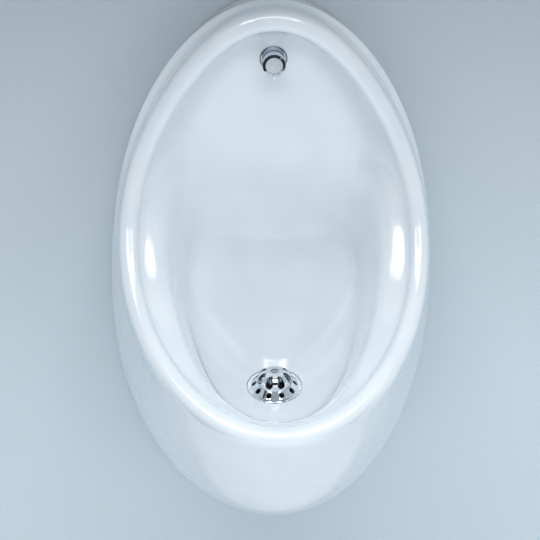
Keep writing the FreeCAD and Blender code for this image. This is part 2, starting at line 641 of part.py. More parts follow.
def waste_body():
    """Flange, threaded tail and the cross bar that takes the strainer's screw."""
    body = rod(WASTE_FLANGE_R, WASTE_FLANGE, on_waste(FLANGE_UNDER), UP)
    body = body.makeChamfer(SEAT_LIFT, edges_at(body, 2, FLANGE_UNDER + WASTE_FLANGE))
    body = body.fuse(rod(WASTE_THREAD_R, WASTE_TAIL, on_waste(TAIL_END), UP))
    body = body.cut(rod(WASTE_BORE_R, WASTE_TAIL + WASTE_FLANGE, on_waste(TAIL_END), UP))
    body = body.cut(rod(WASTE_FLANGE_R - WASTE_FLANGE, STRAINER_SINK, on_waste(STRAINER_UNDER), UP))
    body = body.cut(Part.makeCone(WASTE_MOUTH_R, WASTE_BORE_R, WASTE_MOUTH, on_waste(STRAINER_UNDER), DOWN))
    bar = block(2 * WASTE_BORE_R + 1, WASTE_OUT - BRIDGE_WIDTH / 2, WASTE_OUT + BRIDGE_WIDTH / 2,
                BRIDGE_TOP - BRIDGE, BRIDGE_TOP)
    hub = rod(BRIDGE_HUB_R, BRIDGE, on_waste(BRIDGE_TOP), DOWN)
    screw_hole = rod(STRAINER_SCREW_R + RUNNING_GAP, BRIDGE, on_waste(BRIDGE_TOP), DOWN)
    return body.fuse(bar.fuse(hub)).cut(screw_hole).removeSplitter()


def waste_top_seal():
    return tube(WASTE_FLANGE_R - SEAT_LIFT, WASTE_HOLE_R + SEAT_LIFT, WASTE_SEAL, on_waste(SEAT), UP)


def waste_under_gasket():
    return tube(WASTE_WASHER_R, WASTE_THREAD_R + SEAT_LIFT, UNDER_GASKET, on_waste(UNDERSIDE), DOWN)


def waste_slip_washer():
    top = UNDERSIDE - UNDER_GASKET
    return tube(WASTE_WASHER_R, WASTE_THREAD_R + SEAT_LIFT, SLIP_WASHER, on_waste(top), DOWN)


def waste_backnut():
    top = UNDERSIDE - UNDER_GASKET - SLIP_WASHER
    return nut(WASTE_BACKNUT_FLATS, WASTE_THREAD_R + THREAD_GAP, WASTE_BACKNUT, on_waste(top), DOWN)


# ---- trap and outlet -------------------------------------------------------------------------
def union_nut(thread_r, neck_r, grip, reach, base, axis):
    """A ribbed plastic nut: its thread ends at base, and from there axis points to its lip."""
    outer = thread_r + UNION_WALL
    length = grip + reach + UNION_LIP
    start = base - axis * grip
    body = rod(outer, length, start, axis)
    side = axis.cross(Vector(1, 0, 0))
    for k in range(UNION_RIBS):
        rib = rod(UNION_RIB_R, length - UNION_LIP, start + side * outer, axis)
        rib.rotate(start, axis, k * 360 / UNION_RIBS)
        body = body.fuse(rib)
    return body.cut(rod(thread_r + THREAD_GAP, grip + reach, start, axis)).cut(
        rod(neck_r, length, start, axis))


def trap_inlet_washer():
    return tube(WASTE_THREAD_R - SEAT_LIFT, TRAP_NECK_R - TRAP_WALL, TRAP_WASHER, on_waste(TAIL_END), DOWN)


def trap_union_nut():
    return union_nut(WASTE_THREAD_R, TRAP_NECK_R + SEAT_LIFT, UNION_GRIP, TRAP_WASHER + UNION_FLANGE,
                     on_waste(TAIL_END), DOWN)


def trap_body():
    """Neck with its flange, bottle and outlet stub in one moulding."""
    body = rod(WASTE_THREAD_R - SEAT_LIFT, UNION_FLANGE, on_waste(TRAP_MOUTH), DOWN)
    body = body.fuse(rod(TRAP_NECK_R, TRAP_NECK, on_waste(TRAP_MOUTH), DOWN))
    bottle = rod(TRAP_R, TRAP_HEIGHT, on_waste(SHOULDER), DOWN)
    bottle = bottle.makeFillet(TRAP_WALL, edges_at(bottle, 2, SHOULDER))
    body = body.fuse(bottle).fuse(rod(OUTLET_THREAD_R, TRAP_R + OUTLET_STUB, on_outlet(STUB_END), OUTWARDS))
    body = body.cut(rod(TRAP_R - TRAP_WALL, TRAP_HEIGHT, on_waste(SHOULDER - TRAP_WALL), DOWN))
    body = body.cut(rod(TRAP_NECK_R - TRAP_WALL, DIP_TUBE_LEDGE, on_waste(TRAP_MOUTH), DOWN))
    body = body.cut(rod(DIP_TUBE_R + SEAT_LIFT, TRAP_HEIGHT, on_waste(TRAP_MOUTH), DOWN))
    body = body.cut(rod(OUTLET_PIPE_R + RUNNING_GAP, OUTLET_SOCKET, on_outlet(STUB_END), OUTWARDS))
    return body.cut(rod(OUTLET_PIPE_R - OUTLET_PIPE_WALL, TRAP_R, on_outlet(STUB_END), OUTWARDS))


def trap_dip_tube():
    top = TRAP_MOUTH - DIP_TUBE_LEDGE
    foot = CUP_INSIDE + DIP_TUBE_FOOT
    solid = rod(TRAP_NECK_R - TRAP_WALL - SEAT_LIFT, DIP_TUBE_FLANGE, on_waste(top), UP)
    solid = solid.fuse(rod(DIP_TUBE_R, top - foot, on_waste(foot), UP))
    return solid.cut(rod(DIP_TUBE_R - DIP_TUBE_WALL, top - foot + DIP_TUBE_FLANGE, on_waste(foot), UP))


def trap_cup_ring():
    return tube(TRAP_R, TRAP_R - TRAP_WALL, GASKET, on_waste(TRAP_FOOT), DOWN)


def trap_cup():
    top = TRAP_FOOT + CUP_GRIP
    cup = rod(TRAP_R + THREAD_GAP + CUP_WALL, top - CUP_INSIDE + CUP_FLOOR, on_waste(top), DOWN)
    cup = cup.makeFillet(CUP_FLOOR, edges_at(cup, 2, CUP_INSIDE - CUP_FLOOR))
    cup = cup.cut(rod(TRAP_R + THREAD_GAP, CUP_GRIP + GASKET, on_waste(top), DOWN))
    return cup.cut(rod(TRAP_R - TRAP_WALL, top - CUP_INSIDE, on_waste(top), DOWN))


def outlet_washer():
    return tube(OUTLET_THREAD_R - SEAT_LIFT, OUTLET_PIPE_R + RUNNING_GAP, TRAP_WASHER,
                on_outlet(STUB_END - TRAP_WASHER), OUTWARDS)


def outlet_union_nut():
    return union_nut(OUTLET_THREAD_R, OUTLET_PIPE_R + SEAT_LIFT, OUTLET_GRIP, TRAP_WASHER,
                     on_outlet(STUB_END), OUTWARDS * -1)


def outlet_pipe():
    """From the trap's socket through the wall's face, with the bead that stops it there."""
    length = STUB_END + OUTLET_SOCKET + OUTLET_FREE_END
    pipe = rod(OUTLET_PIPE_R, length, on_outlet(-OUTLET_FREE_END), OUTWARDS)
    pipe = pipe.fuse(rod(STOP_BEAD_R, STOP_BEAD, on_outlet(STOP_BEAD_OUT), OUTWARDS))
    return pipe.cut(rod(OUTLET_PIPE_R - OUTLET_PIPE_WALL, length, on_outlet(-OUTLET_FREE_END), OUTWARDS))


# ---- wall hangers ----------------------------------------------------------------------------
def hanger(middle):
    """Steel strip: plate on the wall, shelf and upturned lip."""
    low = SHELF - HANGER_DROP
    plate = block(HANGER_WIDTH, 0, HANGER_STEEL, low, SHELF, middle)
    plate = plate.makeFillet(HANGER_CORNER, [edge for edge in edges_at(plate, 2, low)
                                             if edge.Length < HANGER_STEEL + 1])
    shelf = block(HANGER_WIDTH, 0, HOOK_OUT, SHELF - HANGER_STEEL, SHELF, middle)
    shelf = shelf.makeFillet(HANGER_STEEL - 1, [edge for edge in edges_at(shelf, 1, -HOOK_OUT)
                                                if edge.CenterOfMass.z < SHELF - HANGER_STEEL * 0.9])
    lip = block(HANGER_WIDTH, HOOK_OUT - HANGER_STEEL, HOOK_OUT, SHELF - 0.5, SHELF + HOOK_LIP, middle)
    strip = plate.fuse(shelf).fuse(lip)
    for drop in WALL_SCREW_DROPS:
        strip = strip.cut(rod(WALL_SCREW_HOLE_R, HANGER_STEEL, Vector(middle, 0, SHELF - drop), OUTWARDS))
    return strip.removeSplitter()


def hanger_pads():
    front = HOOK_OUT - HANGER_STEEL - SEAT_LIFT
    back = HANGER_STEEL + LUG_GAP
    return Part.makeCompound([block(HANGER_WIDTH, back, front, SHELF, HANGER_LEVEL, side * HANGER_X)
                              for side in (-1, 1)])


def at_wall_screws(make):
    """The same fastener at all four holes; make gets the hole's point on the wall's face."""
    return Part.makeCompound([make(Vector(side * HANGER_X, 0, SHELF - drop))
                              for side in (-1, 1) for drop in WALL_SCREW_DROPS])


def hanger_washers():
    return at_wall_screws(lambda point: tube(WALL_WASHER_R, WALL_SCREW_R + SEAT_LIFT, SLIP_WASHER,
                                             point + OUTWARDS * HANGER_STEEL, OUTWARDS))


def wall_screw(point):
    seat = point + OUTWARDS * (HANGER_STEEL + SLIP_WASHER)
    head = rod(WALL_SCREW_HEAD_R, WALL_SCREW_HEAD, seat, OUTWARDS)
    front = seat.y - WALL_SCREW_HEAD
    head = head.makeFillet(WALL_SCREW_HEAD / 2, edges_at(head, 1, front))
    shank = rod(WALL_SCREW_R, WALL_SCREW_DEPTH + HANGER_STEEL + SLIP_WASHER, seat, OUTWARDS * -1)
    drive = WALL_SCREW_R
    socket = hexagon(drive, WALL_SCREW_HEAD / 2, Vector(point.x, front, point.z), OUTWARDS * -1)
    return head.fuse(shank).cut(socket)


def hanger_screws():
    return at_wall_screws(wall_screw)


def wall_plug(point):
    plug = rod(WALL_PLUG_R, WALL_PLUG, point, OUTWARDS * -1)
    return plug.cut(rod(WALL_SCREW_R + THREAD_GAP, WALL_SCREW_DEPTH, point, OUTWARDS * -1))


def wall_plugs():
    return at_wall_screws(wall_plug)


PARTS = {
    "bowl": bowl,
    "spreader_cap": spreader_cap,
    "spreader_grub_screw": spreader_grub_screw,
    "spreader_body": spreader_body,
    "spreader_o_ring": spreader_o_ring,
    "spreader_front_gasket": spreader_front_gasket,
    "spreader_back_gasket": spreader_back_gasket,
    "spreader_slip_washer": spreader_slip_washer,
    "spreader_backnut": spreader_backnut,
    "strainer_dome": strainer_dome,
    "strainer_screw": strainer_screw,
    "waste_body": waste_body,
    "waste_top_seal": waste_top_seal,
    "waste_under_gasket": waste_under_gasket,
    "waste_slip_washer": waste_slip_washer,
    "waste_backnut": waste_backnut,
    "trap_inlet_washer": trap_inlet_washer,
    "trap_union_nut": trap_union_nut,
    "trap_body": trap_body,
    "trap_dip_tube": trap_dip_tube,
    "trap_cup_ring": trap_cup_ring,
    "trap_cup": trap_cup,
    "outlet_washer": outlet_washer,
    "outlet_union_nut": outlet_union_nut,
    "outlet_pipe": outlet_pipe,
    "hanger_left": lambda: hanger(-HANGER_X),
    "hanger_right": lambda: hanger(HANGER_X),
    "hanger_pads": hanger_pads,
    "hanger_washers": hanger_washers,
    "hanger_screws": hanger_screws,
    "wall_plugs": wall_plugs,
}


def main():
    os.makedirs("parts", exist_ok=True)
    for name, make in PARTS.items():
        shape = make()
        print(name, len(shape.Solids), round(shape.Volume), shape.isValid())
        shape.exportStep("parts/" + name + ".step")


main()
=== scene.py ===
# %% [markdown]
# # A wall hung urinal
#
# The real object is one large piece of glazed china with a few small chromed fittings in it,
# and its plumbing and its hangers hidden in the hollow back. The solid model already holds
# every piece at its true size, so this lesson first loads it, then gives each piece the finish
# that the real one has, and adds the fine forms that a plain solid leaves out, such as threads.

# %% Load the solid model
import bpy
import json
from math import floor as whole, pi, radians, tan
from mathutils import Matrix, Vector

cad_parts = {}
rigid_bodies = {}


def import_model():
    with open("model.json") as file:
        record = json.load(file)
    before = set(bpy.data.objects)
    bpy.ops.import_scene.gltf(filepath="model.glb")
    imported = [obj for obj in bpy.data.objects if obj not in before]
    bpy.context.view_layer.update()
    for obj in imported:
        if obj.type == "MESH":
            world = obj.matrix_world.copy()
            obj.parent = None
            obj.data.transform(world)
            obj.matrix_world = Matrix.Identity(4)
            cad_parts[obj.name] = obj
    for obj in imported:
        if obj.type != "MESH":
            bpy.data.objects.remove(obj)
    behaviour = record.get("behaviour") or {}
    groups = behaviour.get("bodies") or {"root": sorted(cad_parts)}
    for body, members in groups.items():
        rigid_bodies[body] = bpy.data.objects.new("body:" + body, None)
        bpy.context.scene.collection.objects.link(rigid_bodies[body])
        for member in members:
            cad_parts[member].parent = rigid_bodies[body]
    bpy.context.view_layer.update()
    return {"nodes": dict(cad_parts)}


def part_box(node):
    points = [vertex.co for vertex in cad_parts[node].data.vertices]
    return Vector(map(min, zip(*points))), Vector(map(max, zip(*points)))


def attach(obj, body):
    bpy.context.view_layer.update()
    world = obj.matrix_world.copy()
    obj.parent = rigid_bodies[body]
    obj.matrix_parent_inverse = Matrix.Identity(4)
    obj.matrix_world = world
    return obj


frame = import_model()
nodes = frame["nodes"]
for thing in bpy.context.scene.objects:
    thing.select_set(False)
print("pieces in the solid model:", len(nodes))

# %% [markdown]
# ## The camera
#
# The photographer stood in front of the bowl and a little to its left, and looked down at about
# 32 degrees. A camera can be placed by hand until the picture fits, but here its place and its
# three turns were worked out, so they are written as they are. The lens is long, which keeps
# the egg shape free of distortion.

# %% Place the camera
CAMERA_PLACE = Vector((-0.0456, -1.1736, 0.4512))
CAMERA_RIGHT, CAMERA_DOWN, CAMERA_ROLL = radians(2.18), radians(32.31), radians(0.29)
SENSOR_WIDTH, LENS = 36, 75.4   # mm

camera = bpy.data.objects.new("camera", bpy.data.cameras.new("camera"))
bpy.context.scene.collection.objects.link(camera)
camera.data.sensor_width = SENSOR_WIDTH
camera.data.lens = LENS
turn = Matrix.Rotation(-CAMERA_RIGHT, 4, "Z") @ Matrix.Rotation(pi / 2 - CAMERA_DOWN, 4, "X")
roll = Matrix.Rotation(CAMERA_ROLL, 4, "Z")
camera.matrix_world = Matrix.Translation(CAMERA_PLACE) @ turn @ roll
bpy.context.scene.camera = camera
print("camera looks along", [round(value, 3) for value in turn.to_3x3() @ Vector((0, 0, -1))])

# %% [markdown]
# ## Modelling by hand
#
# The next pieces are fine forms that the solid model leaves plain. Each is modelled as by hand:
# a primitive is added, shaped in edit mode, and finished with modifiers. Only what is selected
# is changed, so a helper first deselects everything, and another one ends the work: it puts the
# object's origin back to zero, closes the surface, turns all faces outwards, smooths what is
# round, and says which body of the object the piece moves with.


# %% Start of a piece
MERGE = 0.00001             # points nearer than this become one


def fresh():
    if bpy.context.object and bpy.context.object.mode != "OBJECT":
        bpy.ops.object.mode_set(mode="OBJECT")
    bpy.ops.object.select_all(action="DESELECT")


def apply_all(thing):
    for modifier in list(thing.modifiers):
        bpy.ops.object.modifier_apply(modifier=modifier.name)


# %% End of a piece
def ended(thing, name, body, smooth=35):
    """Place and turn go into the mesh, faces point outwards, and the piece rides on its body."""
    thing.name = name
    bpy.ops.object.transform_apply(location=True, rotation=True, scale=True)
    bpy.ops.object.mode_set(mode="EDIT")
    bpy.ops.mesh.select_all(action="SELECT")
    bpy.ops.mesh.remove_doubles(threshold=MERGE)
    bpy.ops.mesh.fill_holes(sides=8)
    bpy.ops.mesh.normals_make_consistent(inside=False)
    bpy.ops.object.mode_set(mode="OBJECT")
    bpy.ops.object.shade_smooth_by_angle(angle=radians(smooth))
    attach(thing, body)
    size = [max(values) - min(values) for values in zip(*thing.bound_box)]
    print(name, len(thing.data.polygons), "faces,", [round(side * 1000, 1) for side in size], "mm")


# %% [markdown]
# ## Screw threads
#
# A thread is one ridge wound round a rod. It could be a picture on the surface, but the ridge
# also shows in the outline, so it is modelled: a small diamond stands beside the axis, and the
# Screw modifier winds it up by one pitch in each turn. Half of the diamond sinks into the rod
# of the solid model. Where a nut covers the rod, no ridge is needed, so each stretch ends at
# the nuts, whose places are read from the solid model.


# %% Wind a thread
OUTWARDS, UPWARDS = (pi / 2, 0, 0), (0, 0, 0)
RIDGE_SHARE = 0.42          # half the ridge's foot, as a share of the pitch
SMALL_RIDGE = 0.00035
STEPS = 48                  # faces round one turn


def thread(name, place, turned, radius, pitch, length, body, height=SMALL_RIDGE):
    """A ridge round the rod that starts at place; turned takes +Z to the rod's direction."""
    fresh()
    bpy.ops.mesh.primitive_circle_add(vertices=4, radius=pitch * RIDGE_SHARE, rotation=OUTWARDS)
    ridge = bpy.context.object
    bpy.ops.object.transform_apply(location=True, rotation=True, scale=True)
    bpy.ops.object.mode_set(mode="EDIT")
    bpy.ops.mesh.select_all(action="SELECT")
    bpy.ops.transform.resize(value=(height / (pitch * RIDGE_SHARE), 1, 1))
    bpy.ops.transform.translate(value=(radius, 0, 0))
    bpy.ops.object.mode_set(mode="OBJECT")
    wind = ridge.modifiers.new("wind", "SCREW")
    wind.axis, wind.screw_offset, wind.iterations = "Z", pitch, max(1, whole(length / pitch))
    wind.steps = wind.render_steps = STEPS
    apply_all(ridge)
    ridge.rotation_euler = turned
    ridge.location = place
    ended(ridge, name, body)


# %% The inlet's two stretches: in the wall, and between the nut and the wall
INLET_THREAD = 0.01048
HALF_INCH_PITCH = 0.001814
END_GAP = 0.001             # plain rod before a ridge starts
WALL_STRETCH = 0.032
INNER_STRETCH = 0.0044
INNER_END = 0.0052          # from the nut's back
tail_back, nut_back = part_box("spreader_body")[1][1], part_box("spreader_backnut")[1][1]
thread("inlet_thread", (0, tail_back - END_GAP, 0), OUTWARDS, INLET_THREAD, HALF_INCH_PITCH,
       WALL_STRETCH, "base")
thread("inlet_thread_inner", (0, nut_back + INNER_END, 0), OUTWARDS, INLET_THREAD, HALF_INCH_PITCH,
       INNER_STRETCH, "base")

# %% The waste's thread, from the trap's nut up to the backnut
WASTE_THREAD = 0.0239
LARGE_PITCH = 0.002309
LARGE_RIDGE = 0.0005
waste_low, waste_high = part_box("waste_body")
waste_axis = (waste_low[1] + waste_high[1]) / 2
above_union, below_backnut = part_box("trap_union_nut")[1][2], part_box("waste_backnut")[0][2]
thread("waste_thread", (0, waste_axis, above_union + END_GAP), UPWARDS, WASTE_THREAD, LARGE_PITCH,
       below_backnut - above_union - 3 * END_GAP, "base", height=LARGE_RIDGE)

# %% [markdown]
# ## Grips on the trap's cup
#
# The cup is unscrewed by hand to clean the trap, so its maker moulds upright bars round it. One
# bar is a cylinder with few sides, pinched in at both ends by a bevel. The Spin operator then
# copies it round the trap's axis.

# %% Mould the grips
GRIPS, GRIP_SIDES = 24, 10
GRIP_R = 0.0013
GRIP_BEVEL = 0.0007
GRIP_SHORTER = 0.009        # than the cup
GRIP_RAISED = 0.001
cup_low, cup_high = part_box("trap_cup")
cup_radius = (cup_high[0] - cup_low[0]) / 2
cup_middle = (cup_low[2] + cup_high[2]) / 2
fresh()
bpy.ops.mesh.primitive_cylinder_add(vertices=GRIP_SIDES, radius=GRIP_R,
                                    depth=cup_high[2] - cup_low[2] - GRIP_SHORTER,
                                    location=(cup_radius, waste_axis, cup_middle + GRIP_RAISED))
grips = bpy.context.object
bpy.ops.object.transform_apply(location=True, rotation=True, scale=True)
bpy.ops.object.mode_set(mode="EDIT")
bpy.ops.mesh.select_all(action="SELECT")
bpy.ops.mesh.bevel(offset=GRIP_BEVEL, segments=2, affect="EDGES", clamp_overlap=True)
bpy.ops.mesh.spin(steps=GRIPS - 1, dupli=True, angle=2 * pi * (GRIPS - 1) / GRIPS,
                  center=(0, waste_axis, 0), axis=(0, 0, 1))
bpy.ops.object.mode_set(mode="OBJECT")
ended(grips, "trap_cup_grips", "base", smooth=50)

# %% [markdown]
# ## The spreader's shoulder
#
# Round the flat front disc the cap has a sloping, sharply edged shoulder. It is the form that
# shows the dark band in the chrome, so its slope matters. A band of a cone and a band of a
# cylinder are joined, their common edge is merged, and the Solidify modifier gives the thin
# ring its thickness, towards the cap.

# %% Turn the shoulder
CAP_SIDE = 0.01205
SHOULDER_IN = 0.0091        # inner edge, at the disc
SHOULDER_SLOPE = radians(30)
SHOULDER_FOOT = 0.0029      # how far the side goes back
SHOULDER_LIFT = 0.00045     # inner edge over the cap's front
SHOULDER_WALL = 0.0003
ROUND = 128                 # faces round the ring
cap_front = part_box("spreader_cap")[0][1]
slope_deep = (CAP_SIDE - SHOULDER_IN) * tan(SHOULDER_SLOPE)
ring_front = cap_front - SHOULDER_LIFT
side_front, side_back = ring_front + slope_deep, cap_front + SHOULDER_FOOT
fresh()
bpy.ops.mesh.primitive_cylinder_add(vertices=ROUND, radius=CAP_SIDE, depth=side_back - side_front,
                                    end_fill_type="NOTHING", rotation=OUTWARDS,
                                    location=(0, (side_front + side_back) / 2, 0))
side_band = bpy.context.object
bpy.ops.mesh.primitive_cone_add(vertices=ROUND, radius1=CAP_SIDE, radius2=SHOULDER_IN,
                                depth=slope_deep, end_fill_type="NOTHING", rotation=OUTWARDS,
                                location=(0, ring_front + slope_deep / 2, 0))
shoulder = bpy.context.object

# %% Join the two bands and give them a wall
side_band.select_set(True)
bpy.ops.object.join()
bpy.ops.object.mode_set(mode="EDIT")
bpy.ops.mesh.select_all(action="SELECT")
bpy.ops.mesh.remove_doubles(threshold=MERGE)
bpy.ops.mesh.normals_make_consistent(inside=False)
bpy.ops.object.mode_set(mode="OBJECT")
wall_of_ring = shoulder.modifiers.new("wall", "SOLIDIFY")
wall_of_ring.thickness, wall_of_ring.offset = SHOULDER_WALL, -1
apply_all(shoulder)
ended(shoulder, "spreader_cap_shoulder", "cap", smooth=25)

# %% [markdown]
# ## Small helpers for materials
#
# A material is a chain of nodes. Writing each node and its links by hand takes many lines, so
# one helper adds a node and fills its sockets: a value is written into the socket, and another
# node's output is linked to it.


# %% Fill a socket
def put(tree, socket, value):
    """A value is written into the socket, and another node's output is linked to it."""
    if isinstance(value, bpy.types.NodeSocket):
        tree.links.new(value, socket)
    else:
        socket.default_value = value


def fill(tree, node, name, value):
    """Fills the socket with this name, in lower case with underscores, as in base_color."""
    wanted = name.replace("_", " ").lower()
    put(tree, next(s for s in node.inputs if s.name.lower() == wanted and s.enabled), value)


# %% Add a node
def add(tree, kind, settings=None, **sockets):
    """One node with its settings and its sockets."""
    node = tree.nodes.new(kind)
    for name, value in (settings or {}).items():
        setattr(node, name, value)
    for name, value in sockets.items():
        fill(tree, node, name, value)
    return node


def maths(tree, operation, *values):
    """A Math node on two or three values or sockets, and its output."""
    node = tree.nodes.new("ShaderNodeMath")
    node.operation = operation
    for socket, value in zip(node.inputs, values):
        put(tree, socket, value)
    return node.outputs[0]


# %% Ranges, mixes and noise
FACTOR, COLOUR_A, COLOUR_B, COLOUR_OUT = 0, 6, 7, 2     # a Mix node's sockets for colours


def spread(tree, value, low, high, to_low=0.0, to_high=1.0):
    """The value from low to high, spread smoothly over to_low to to_high."""
    return add(tree, "ShaderNodeMapRange", {"interpolation_type": "SMOOTHSTEP"}, value=value,
               from_min=low, from_max=high, to_min=to_low, to_max=to_high).outputs[0]


def mixed(tree, factor, first, second):
    """A colour between two colours."""
    node = add(tree, "ShaderNodeMix", {"data_type": "RGBA"})
    for number, value in ((FACTOR, factor), (COLOUR_A, first), (COLOUR_B, second)):
        put(tree, node.inputs[number], value)
    return node.outputs[COLOUR_OUT]


def noise(tree, place, scale, detail=2.0, roughness=0.5):
    return add(tree, "ShaderNodeTexNoise", vector=place, scale=scale, detail=detail,
               roughness=roughness).outputs[0]


# %% Colours and new materials
def srgb(red, green, blue):
    """A colour as seen on a screen, 0 to 255, made the linear colour that a material takes."""
    return tuple(((value / 255 + 0.055) / 1.055) ** 2.4 for value in (red, green, blue)) + (1.0,)


def new_material(name):
    material = bpy.data.materials.new(name)
    material.use_nodes = True
    tree = material.node_tree
    shader = tree.nodes["Principled BSDF"]
    place = tree.nodes.new("ShaderNodeTexCoord").outputs["Object"]
    return material, tree, shader, place


def finish(names, material):
    """The material for these pieces, of the solid model or modelled here."""
    for name in names:
        piece = nodes.get(name) or bpy.data.objects[name]
        if not piece.material_slots:
            piece.data.materials.append(material)
        for slot in piece.material_slots:
            slot.material = material
    print(material.name, "on", len(names), "pieces")


# %% [markdown]
# ## Effects that several finishes share
#
# Real surfaces are never quite even: glaze ripples, chrome collects dried spots, moulded
# plastic has a faint grain. Each effect is a node group, built once, and every material sets
# its own sizes and strengths.


# %% Start a group
def new_group(name, inputs, outputs):
    tree = bpy.data.node_groups.new(name, "ShaderNodeTree")
    for kind, label, value in inputs:
        socket = tree.interface.new_socket(label, in_out="INPUT", socket_type="NodeSocket" + kind)
        if value is not None:
            socket.default_value = value
    for kind, label in outputs:
        tree.interface.new_socket(label, in_out="OUTPUT", socket_type="NodeSocket" + kind)
    return tree, tree.nodes.new("NodeGroupInput").outputs, tree.nodes.new("NodeGroupOutput")


# %% Ripples in a glaze or a polish
def ripple_group():
    """Long soft ripples and a fine orange peel, as a normal and as a mask."""
    tree, given, out = new_group(
        "ripples",
        [("Vector", "Place", None), ("Float", "Wave Scale", 20.0), ("Float", "Peel Scale", 400.0),
         ("Float", "Wave Height", 0.1), ("Float", "Peel Height", 0.02)],
        [("Vector", "Normal"), ("Float", "Mask")])
    wave = noise(tree, given["Place"], given["Wave Scale"], 1.0)
    peel = noise(tree, given["Place"], given["Peel Scale"], 2.0)
    height = maths(tree, "ADD", maths(tree, "MULTIPLY", wave, given["Wave Height"]),
                   maths(tree, "MULTIPLY", peel, given["Peel Height"]))
    bump = add(tree, "ShaderNodeBump", strength=1.0, distance=0.001, height=height)
    tree.links.new(bump.outputs[0], out.inputs["Normal"])
    tree.links.new(wave, out.inputs["Mask"])
    return tree


# %% Dried spots
def spot_group():
    """Round dried drops of several sizes, 1 inside a drop's edge."""
    tree, given, out = new_group(
        "dried spots",
        [("Vector", "Place", None), ("Float", "Scale", 300.0), ("Float", "Share", 0.3)],
        [("Float", "Mask")])
    cells = add(tree, "ShaderNodeTexVoronoi", vector=given["Place"], scale=given["Scale"],
                randomness=1.0)
    size = maths(tree, "MULTIPLY", noise(tree, given["Place"], 60.0), given["Share"])
    from_edge = maths(tree, "ABSOLUTE", maths(tree, "SUBTRACT", cells.outputs["Distance"], size))
    tree.links.new(spread(tree, from_edge, 0.0, 0.09, 1.0, 0.0), out.inputs["Mask"])
    return tree


# %% Grain
def grain_group():
    """A fine speckled grain, as a mask and as a normal."""
    tree, given, out = new_group(
        "grain",
        [("Vector", "Place", None), ("Float", "Scale", 900.0), ("Float", "Height", 0.05)],
        [("Float", "Mask"), ("Vector", "Normal")])
    grains = noise(tree, given["Place"], given["Scale"], 3.0, 0.6)
    bump = add(tree, "ShaderNodeBump", strength=1.0, distance=0.001,
               height=maths(tree, "MULTIPLY", grains, given["Height"]))
    tree.links.new(grains, out.inputs["Mask"])
    tree.links.new(bump.outputs[0], out.inputs["Normal"])
    return tree


# %% Build the groups, and place one in a material
RIPPLES, SPOTS, GRAIN = ripple_group(), spot_group(), grain_group()
print("shared groups:", [group.name for group in bpy.data.node_groups])


def use(tree, group, place, **values):
    node = tree.nodes.new("ShaderNodeGroup")
    node.node_tree = group
    fill(tree, node, "place", place)
    for name, value in values.items():
        fill(tree, node, name, value)
    return node.outputs


# %% [markdown]
# ## Glazed china
#
# The bowl is fired clay under a thick white glaze. The glaze is a clear gloss over a slightly
# cool white, with very soft ripples where it ran in the kiln. On the back edge, which stood on
# the kiln shelf, the clay is bare and matt. A coat over a smooth base gives the clear gloss,
# and the place on the piece tells the bare clay from the glaze.


# %% China
def china():
    material, tree, shader, place = new_material("glazed china")
    ripples = use(tree, RIPPLES, place, wave_scale=16.0, peel_scale=260.0, wave_height=0.22,
                  peel_height=0.006)
    depth_in_wall = add(tree, "ShaderNodeSeparateXYZ", vector=place).outputs["Y"]
    unevenness = maths(tree, "MULTIPLY", noise(tree, place, 45.0, 3.0), 0.003)
    edge = maths(tree, "ADD", depth_in_wall, unevenness)
    bare = spread(tree, edge, -0.0012, 0.0004)
    speckle = noise(tree, place, 1500.0, 3.0, 0.7)
    clay = mixed(tree, speckle, srgb(196, 186, 168), srgb(226, 218, 202))
    thick = spread(tree, ripples["Mask"], 0.3, 0.7)
    glaze = mixed(tree, thick, srgb(226, 235, 242), srgb(231, 239, 245))
    fill(tree, shader, "base_color", mixed(tree, bare, glaze, clay))
    fill(tree, shader, "roughness", spread(tree, bare, 0.0, 1.0, 0.16, 0.75))
    fill(tree, shader, "coat_weight", maths(tree, "SUBTRACT", 1.0, bare))
    shader.inputs["Coat Roughness"].default_value = 0.12
    shader.inputs["Coat IOR"].default_value = 1.5
    shader.inputs["IOR"].default_value = 1.45
    fill(tree, shader, "normal", ripples["Normal"])
    return material


finish(["bowl"], china())

# %% [markdown]
# ## Chrome
#
# The spreader, the strainer and the waste flange are polished brass under chrome. Polished
# metal shows its surroundings, so its own colour hardly matters. What makes it look real is the
# faint haze and the dried water spots that dull the mirror here and there.


# %% Chrome
def chrome():
    material, tree, shader, place = new_material("polished chrome")
    spots = use(tree, SPOTS, place, scale=420.0, share=0.25)["Mask"]
    haze = spread(tree, noise(tree, place, 70.0, 3.0), 0.35, 0.7)
    ripples = use(tree, RIPPLES, place, wave_scale=90.0, peel_scale=900.0, wave_height=0.03,
                  peel_height=0.004)
    dull = maths(tree, "ADD", maths(tree, "MULTIPLY", spots, 0.10),
                 maths(tree, "MULTIPLY", haze, 0.05))
    fill(tree, shader, "roughness", maths(tree, "ADD", dull, 0.05))
    fill(tree, shader, "base_color", mixed(tree, spots, srgb(222, 226, 230), srgb(204, 208, 212)))
    shader.inputs["Metallic"].default_value = 1.0
    fill(tree, shader, "normal", ripples["Normal"])
    return material


finish(["spreader_cap", "spreader_cap_shoulder", "spreader_body", "strainer_dome", "waste_body",
        "inlet_thread", "inlet_thread_inner", "waste_thread"], chrome())
